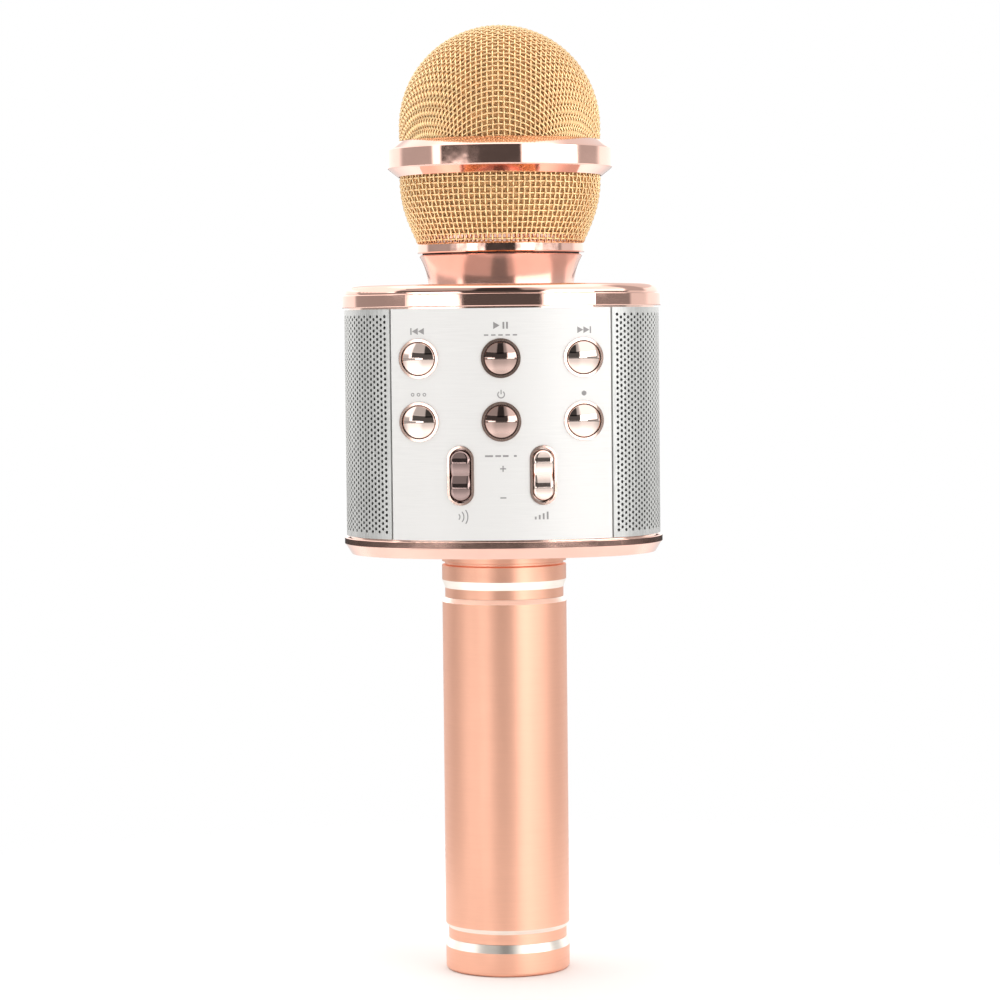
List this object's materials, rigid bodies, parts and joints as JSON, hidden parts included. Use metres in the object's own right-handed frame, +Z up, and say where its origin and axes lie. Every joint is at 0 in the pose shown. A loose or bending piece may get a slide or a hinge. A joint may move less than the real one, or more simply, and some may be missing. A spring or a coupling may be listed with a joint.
{
  "type": "karaoke microphone",
  "caption": "Hand-held karaoke microphone: woven ball head, oval speaker box with front keys and side grilles, round battery handle.",
  "frame": {"origin": "centre of the handle's flat foot", "axes": "+Z up the handle's axis towards the ball head, -Y out of the key panel, +X to the right seen from the front"},
  "size_m": [0.0826, 0.0637, 0.245],
  "materials": {
    "mesh_gold": "woven wire",
    "rose_plating": "polished",
    "rose_anodised": "satin anodised",
    "silver_panel": "fine satin",
    "grille_steel": "perforated, satin",
    "key_plating": "polished",
    "rose_plastic": "vacuum-plated ABS",
    "head_foam": "open-cell foam",
    "speaker_cloth": "woven",
    "black_plastic": "moulded",
    "black_rubber": "matt",
    "capsule_steel": "satin",
    "pressed_steel": "zinc plated",
    "magnet_ferrite": "ground",
    "cone_paper": "pressed paper",
    "screw_steel": "zinc plated",
    "circuit_board": "solder resist",
    "switch_plastic": "moulded",
    "socket_steel": "tin plated",
    "cell_wrap": "metal can in a shrink sleeve",
    "spring_steel": "nickel plated",
    "wire_jacket": "PVC"
  },
  "bodies": {
    "housing": {"aux_socket": "black_plastic", "battery_cell": "cell_wrap", "battery_leads": "wire_jacket", "battery_sleeve": "black_plastic", "board_screws": "screw_steel", "bottom_plate": "rose_plating", "capsule_cushion": "black_rubber", "capsule_holder": "black_plastic", "capsule_lead": "wire_jacket", "card_socket": "socket_steel", "charging_socket": "socket_steel", "collar_screws": "screw_steel", "control_board": "circuit_board", "dust_cloths": "speaker_cloth", "ferrule_screws": "screw_steel", "front_panel": "silver_panel", "front_shell": "rose_plastic", "handle_ferrule": "rose_anodised", "handle_tube": "rose_anodised", "left_side_grille": "grille_steel", "left_speaker_cone": "cone_paper", "left_speaker_frame": "pressed_steel", "left_speaker_magnet": "magnet_ferrite", "main_board": "circuit_board", "mic_capsule": "capsule_steel", "neck_collar": "rose_plating", "rear_panel": "silver_panel", "rear_shell": "rose_plastic", "right_side_grille": "grille_steel", "right_speaker_cone": "cone_paper", "right_speaker_frame": "pressed_steel", "right_speaker_magnet": "magnet_ferrite", "rocker_pins": "screw_steel", "shell_screws": "screw_steel", "speaker_screws": "screw_steel", "switch_housings": "switch_plastic", "top_plate": "rose_plating"},
    "head_seal": {"head_washer": "black_rubber"},
    "grille_head": {"grille_upper": "mesh_gold", "grille_lower": "mesh_gold", "grille_band": "rose_plating", "head_base_ring": "rose_plating", "foam_liner": "head_foam"},
    "cap_seal": {"cap_o_ring": "black_rubber"},
    "battery_cap": {"end_cap": "rose_anodised", "battery_spring": "spring_steel"},
    "echo_key": {"echo_rocker": "key_plating"},
    "volume_key": {"volume_rocker": "key_plating"},
    "previous_key": {"previous_button": "key_plating", "previous_plunger": "switch_plastic"},
    "play_key": {"play_button": "key_plating", "play_plunger": "switch_plastic"},
    "next_key": {"next_button": "key_plating", "next_plunger": "switch_plastic"},
    "mode_key": {"mode_button": "key_plating", "mode_plunger": "switch_plastic"},
    "power_key": {"power_button": "key_plating", "power_plunger": "switch_plastic"},
    "record_key": {"record_button": "key_plating", "record_plunger": "switch_plastic"}
  },
  "joints": [
    {"name": "head_lift", "type": "slide", "parent": "housing", "child": "head_seal", "axis": [0, 0, 1], "range_m": [0, 0.006]},
    {"name": "head_unscrew", "type": "hinge", "parent": "head_seal", "child": "grille_head", "pos_m": [0, 0, 0.186], "axis": [0, 0, 1], "range_deg": [0, 1440]},
    {"name": "cap_drop", "type": "slide", "parent": "housing", "child": "cap_seal", "axis": [0, 0, -1], "range_m": [0, 0.006]},
    {"name": "cap_unscrew", "type": "hinge", "parent": "cap_seal", "child": "battery_cap", "pos_m": [0, 0, 0.007], "axis": [0, 0, -1], "range_deg": [0, 1440]},
    {"name": "previous_press", "type": "slide", "parent": "housing", "child": "previous_key", "axis": [0, 1, 0], "range_m": [0, 0.0005]},
    {"name": "play_press", "type": "slide", "parent": "housing", "child": "play_key", "axis": [0, 1, 0], "range_m": [0, 0.0005]},
    {"name": "next_press", "type": "slide", "parent": "housing", "child": "next_key", "axis": [0, 1, 0], "range_m": [0, 0.0005]},
    {"name": "mode_press", "type": "slide", "parent": "housing", "child": "mode_key", "axis": [0, 1, 0], "range_m": [0, 0.0005]},
    {"name": "power_press", "type": "slide", "parent": "housing", "child": "power_key", "axis": [0, 1, 0], "range_m": [0, 0.0005]},
    {"name": "record_press", "type": "slide", "parent": "housing", "child": "record_key", "axis": [0, 1, 0], "range_m": [0, 0.0005]},
    {"name": "echo_rock", "type": "hinge", "parent": "housing", "child": "echo_key", "pos_m": [-0.00972, -0.02645, 0.1299], "axis": [0.9849, -0.1733, 0], "range_deg": [-4, 4]},
    {"name": "volume_rock", "type": "hinge", "parent": "housing", "child": "volume_key", "pos_m": [0.00972, -0.02645, 0.1299], "axis": [0.9849, 0.1733, 0], "range_deg": [-4, 4]}
  ],
  "couplings": [
    {"joint": "head_lift", "follows": "head_unscrew", "m_per_rad": 0.00023873},
    {"joint": "cap_drop", "follows": "cap_unscrew", "m_per_rad": 0.00023873}
  ]
}
